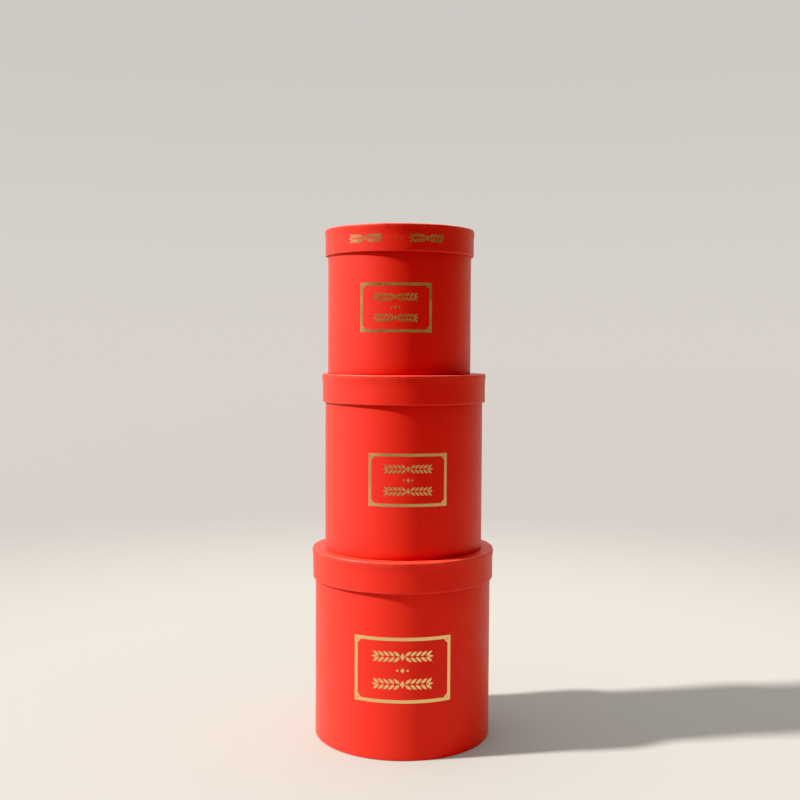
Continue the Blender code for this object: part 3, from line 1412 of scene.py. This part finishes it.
@dataclass
class BoxLid:
    """The lid, with its rim, and the band on it as shares of the rim's depth and the band's reach."""

    box: HatBox
    pleat_depth: float = 0.42 * MM
    pleat_through: float = 0.6
    swell_share: float = 0.7
    rim_ease: float = 0.5 * MM
    band_reach: float = math.radians(37.65)
    band_height: float = 0.325
    band_middle: float = 0.478
    garland_reach: float = 0.375
    mark_reach: float = 0.13
    mark_height: float = 0.42

    def __post_init__(self) -> None:
        """Reads the papers' outlines and sets the relief of their surfaces."""
        self.wrap = self.box.outline_of("lid_rim_wrap")
        self.cap = self.box.outline_of("lid_top_paper")
        self.pleats = Pleats(self.cap.widest, self.pleat_depth, self.box.seed + 11)
        self.swell = Swell(self.swell_share * self.box.swell_depth, self.box.seed + 12)
        self.lap = Overlap(self.wrap.widest, width=14 * MM)
        straight = self.wrap.radius(self.wrap.bottom + 3 * MM)
        levels = [h for h, r in zip(self.wrap.heights, self.wrap.radii) if abs(r - straight) < 0.01 * MM]
        self.knee = max(levels)

    def top(self) -> None:
        """The round top paper, with its edge drawn down over the rim."""
        box, half = self.box, self.box.paper / 2
        edge, top, bottom = self.cap.widest, self.cap.top, self.cap.bottom
        straight = self.cap.radius(bottom)
        corners = [(0.0, top - half), (edge - half, top - half), (straight - half, bottom)]
        outline = Outline.folded(corners, box.edge_fold, (9 * MM, 0.9 * MM), arc_steps=8)
        swell = Swell(0.06 * MM, box.seed + 13)
        fold = outline.folds[0]
        ring = fold - 2.6 * MM

        def relief(at: Spots) -> np.ndarray:
            """A nearly flat top, a faint ring over the rim's board, and pleats round the edge."""
            flat = (1 - ramp(at.along, fold - 3 * MM, 2 * MM)) * ramp(at.radius, 0.0, 25 * MM)
            raised = 0.05 * MM * np.exp(-(((at.along - ring) / (1.1 * MM)) ** 2))
            below = ramp(at.along, ring, 2.2 * MM)
            covered = ramp(at.along, fold + 1.4 * MM, 1.2 * MM)
            pleats = below * (1 - 0.65 * covered) * self.pleats(at.angle)
            return flat * swell(at.angle, at.along) + raised + pleats

        # The lid's top fold is painted paler, partly for rubbing and partly as a painted highlight.
        box.sheet(
            "lid_top_sheet",
            outline,
            relief,
            Part.LID,
            Slot.RED_PAPER,
            "lid_top_paper",
            columns=720,
            wear_reach=1.3 * MM,
            worn=(fold,),
        )

    def surface(self, angle: np.ndarray, height: np.ndarray) -> np.ndarray:
        """Radius of the rim paper's outside."""
        return np.interp(height, self.wrap.heights, self.wrap.radii) + self.rim_relief(angle, height)

    def rim_relief(self, angle: np.ndarray, height: np.ndarray) -> np.ndarray:
        """Swell, the pleats that show through near the top, and the lap at the back."""
        share = ramp(height, self.knee, self.wrap.top - self.knee)
        through = self.pleat_through * self.pleats(angle, soften=1.2) * share
        return self.swell(angle, height) + through + self.lap(angle)

    def rim(self) -> None:
        """The rim paper, from its upper edge down and round into the inside."""
        box, half = self.box, self.box.paper / 2
        wrap = self.wrap
        straight = wrap.radius(self.knee)
        inside = box.outline_of("outer_wrap").widest + self.rim_ease + half
        turn_in_top = box.outline_of("lid_liner").bottom - GLUE_GAP
        spread = wrap.widest - straight
        share = (turn_in_top - self.knee) / (wrap.top - self.knee)
        corners = [
            (wrap.widest - half, wrap.top),
            (straight - half, self.knee),
            (straight - half, wrap.bottom + half),
            (inside, wrap.bottom + half),
            (inside, self.knee),
            (inside + spread * share, turn_in_top),
        ]
        steps = (1.2 * MM, 3 * MM, 1 * MM, 5 * MM, 4 * MM)
        outline = Outline.folded(corners, box.fold, steps, eased=(0, 3))
        lower_edge, inner_edge = outline.folds[1:3]

        def relief(at: Spots) -> np.ndarray:
            """The rim's outside, fading out round its lower edge, and slow waves inside."""
            outside = 1 - ramp(at.along, lower_edge - 3 * MM, 3 * MM)
            inner = ramp(at.along, inner_edge + 2 * MM, 6 * MM)
            waves = 0.05 * MM * (1 + np.cos(9 * at.angle)) / 2
            return outside * self.rim_relief(at.angle, at.height) - inner * waves

        # The rim's edges are painted paler, partly for rubbing and partly as a painted highlight.
        box.sheet(
            "lid_rim_paper",
            outline,
            relief,
            Part.LID,
            Slot.RED_PAPER,
            "lid_rim_wrap",
            columns=540,
            extra_columns=self.lap.columns(),
            wear_reach=0.6 * MM,
            worn=(0.0, lower_edge, inner_edge),
        )

    def lining(self) -> None:
        """The lining inside the lid's top."""
        rise = DiscRise(Swell(0.035 * MM, self.box.seed + 14))
        self.box.disc("lid_lining", rise, Part.LID, Slot.LINING, "lid_liner")

    def rim_band(self) -> None:
        """A run of garland round the front of the rim, broken by a small mark."""
        box = self.box
        depth = self.cap.top - self.wrap.bottom
        radius = self.wrap.radius(self.knee)
        height, reach = self.band_height * depth, radius * self.band_reach
        garland = self.garland_reach * reach
        shapes: list[list[Point]] = []
        for side in (1, -1):
            shapes += Garland(side * (reach - garland), 0.0, garland, height, pairs=4).outlines()
        shapes += SmallMark(0.0, 0.0, self.mark_reach * reach, self.mark_height * height).outlines()
        middle = self.wrap.bottom + self.band_middle * depth
        foil = Foil(f"{box.size}_lid_band_foil", box.axis, shapes, 0.0, middle, self.surface, radius)
        box.finish(foil.build(), Part.LID, Slot.GOLD)


# ---------------------------------------------------------------------------------------------
# Studio
# ---------------------------------------------------------------------------------------------


@dataclass(frozen=True)
class Camera:
    """The camera, level but for a slight tilt."""

    place: Place = (-0.0049, -1.5325, 0.5521)
    lens: float = 48.22
    tilt: float = math.radians(2.782)
    roll: float = math.radians(0.252)

    def build(self) -> None:
        """Makes the scene's camera."""
        data = bpy.data.cameras.new("camera")
        data.lens = self.lens
        data.sensor_width = 36.0
        obj = new_object(data)
        turn = Matrix.Rotation(math.pi / 2 - self.tilt, 4, "X") @ Matrix.Rotation(self.roll, 4, "Z")
        obj.matrix_world = Matrix.Translation(Vector(self.place)) @ turn
        bpy.context.scene.camera = obj


@dataclass(frozen=True)
class Studio:
    """A pale floor, painted lighter near the boxes as a pool of light and darker in front as painted shade,
    that fades into an even backdrop; a sunny key and a soft surround.
    """

    floor_radius: float = 24.0
    floor_roughness: float = 0.8
    floor_shine: float = 0.2
    # The floor's tones paint a pool of light near the boxes and shade in front of them.
    floor_painted_light: Colour = (0.364, 0.358, 0.342)
    floor_far: Colour = (0.278, 0.269, 0.264)
    floor_painted_shade: Colour = (0.160, 0.140, 0.122)
    painted_light_reach: Point = (0.7, 2.2)
    painted_shade_reach: Point = (-0.9, -2.4)
    backdrop: Colour = (0.678, 0.637, 0.592)
    backdrop_front: Colour = (0.405, 0.343, 0.286)
    backdrop_top: Colour = (0.607, 0.574, 0.541)
    overhead: Colour = (1.8, 1.76, 1.70)
    behind: Colour = (0.86, 0.83, 0.80)
    behind_way: Point = (-0.5, 0.87)
    before: Colour = (0.105, 0.08, 0.062)
    key_energy: float = 6.9
    key_colour: Colour = (1.0, 0.95, 0.88)
    key_from: Place = (-0.732, -0.129, 0.669)
    key_spread: float = math.radians(4.0)
    card_energy: float = 1.5
    card_colour: Colour = (1.0, 0.90, 0.80)
    card_size: Point = (0.6, 0.3)
    card_place: Place = (0.16, -0.62, 0.01)
    card_aim: Place = (-0.2, 1.0, 0.25)
    toe: tuple[Point, ...] = ((0.012, 0.0015), (0.022, 0.008), (0.04, 0.030), (0.07, 0.066), (0.12, 0.12))

    def build(self) -> None:
        """Makes the floor, the light and the surround."""
        floor = self.floor()
        self.key()
        self.card(floor)
        self.world()
        self.response()

    def floor(self) -> bpy.types.Object:
        """A pale floor with painted light: lighter near the boxes as a pool of light, dimmer further off, and
        darker in front as painted shade.
        """
        bpy.ops.mesh.primitive_circle_add(vertices=96, radius=self.floor_radius, fill_type="NGON")
        floor = bpy.context.object
        floor.name = "studio_floor"
        material, graph, shader = new_material("studio_floor")
        place = graph.spot()
        length = graph.add("ShaderNodeVectorMath", operation="LENGTH")
        along = graph.add("ShaderNodeSeparateXYZ")
        graph.join(place, length.inputs[0])
        graph.join(place, along.inputs[0])
        # Painted pool of light: lighter near the boxes, dimmer further off.
        share = graph.spread(length.outputs["Value"], *self.painted_light_reach, (0.0, 1.0), smooth=True)
        pale = graph.mix(share, self.floor_painted_light, self.floor_far)
        # Painted shade: darker towards the front.
        share = graph.spread(along.outputs["Y"], *self.painted_shade_reach, (0.0, 1.0), smooth=True)
        graph.join(graph.mix(share, pale, self.floor_painted_shade), shader.inputs["Base Color"])
        shader.inputs["Roughness"].default_value = self.floor_roughness
        shader.inputs["Specular IOR Level"].default_value = self.floor_shine
        floor.data.materials.append(material)
        return floor

    def key(self) -> None:
        """The main light, from the left and a little in front."""
        data = bpy.data.lights.new("key", "SUN")
        data.energy = self.key_energy
        data.color = self.key_colour
        data.angle = self.key_spread
        obj = new_object(data)
        obj.rotation_mode = "QUATERNION"
        obj.rotation_quaternion = Vector(self.key_from).to_track_quat("Z", "Y")

    def card(self, floor: bpy.types.Object) -> None:
        """Light thrown back from low in front, as by a pale card lying on the floor.

        Args:
            floor: The floor, which the card doesn't light.
        """
        data = bpy.data.lights.new("card", "AREA")
        data.energy = self.card_energy
        data.color = self.card_colour
        data.shape = "RECTANGLE"
        data.size, data.size_y = self.card_size
        obj = new_object(data)
        obj.location = self.card_place
        obj.rotation_euler = Vector(self.card_aim).to_track_quat("-Z", "Y").to_euler()
        obj.visible_camera = False
        obj.visible_glossy = False
        unlit = bpy.data.collections.new("unlit_by_card")
        unlit.objects.link(floor)
        unlit.collection_objects[0].light_linking.link_state = "EXCLUDE"
        obj.light_linking.receiver_collection = unlit

    def response(self) -> None:
        """A plain view of the light, with the very darkest tones drawn down a little."""
        view = bpy.context.scene.view_settings
        view.view_transform = "Standard"
        view.use_curve_mapping = True
        curve = view.curve_mapping.curves[3]
        for place, value in self.toe:
            curve.points.new(place, value)
        view.curve_mapping.update()

    def world(self) -> None:
        """A soft surround, brightest overhead and dim in front, seen as an even backdrop."""
        world = bpy.data.worlds.new("studio")
        world.use_nodes = True
        graph = Graph(world.node_tree)
        way = graph.add("ShaderNodeSeparateXYZ")
        graph.join(graph.add("ShaderNodeTexCoord").outputs["Generated"], way.inputs[0])
        up = graph.math("MAXIMUM", way.outputs["Z"], 0.0)
        left = graph.math("MULTIPLY", way.outputs["X"], self.behind_way[0])
        back = graph.math("ADD", graph.math("MULTIPLY", way.outputs["Y"], self.behind_way[1]), left)
        around = graph.mix(graph.spread(back, -0.7, 1.0, (0.0, 1.0), smooth=True), self.before, self.behind)
        light = world.node_tree.nodes["Background"]
        graph.join(graph.mix(graph.math("POWER", up, 4.0), around, self.overhead), light.inputs["Color"])
        seen = graph.add("ShaderNodeBackground")
        rise = graph.spread(up, 0.0, 0.3, (0.0, 1.0), smooth=True)
        wall = graph.mix(rise, self.backdrop, self.backdrop_top)
        front = graph.spread(way.outputs["Y"], 0.0, -0.35, (0.0, 1.0), smooth=True)
        graph.join(graph.mix(front, wall, self.backdrop_front), seen.inputs["Color"])
        choose = graph.add("ShaderNodeMixShader")
        graph.join(graph.add("ShaderNodeLightPath").outputs["Is Camera Ray"], choose.inputs[0])
        graph.join(light.outputs[0], choose.inputs[1])
        graph.join(seen.outputs[0], choose.inputs[2])
        graph.join(choose.outputs[0], world.node_tree.nodes["World Output"].inputs["Surface"])
        bpy.context.scene.world = world


def main() -> None:
    """Builds the studio and the three hat boxes."""
    logging.basicConfig(level=logging.INFO, format="%(name)s: %(message)s")
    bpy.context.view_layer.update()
    Camera().build()
    Studio().build()
    wardrobe = Wardrobe()
    for place, size in enumerate(SIZES):
        HatBox(size, wardrobe, seed=100 * (place + 1)).build()


if __name__ == "__main__":
    main()
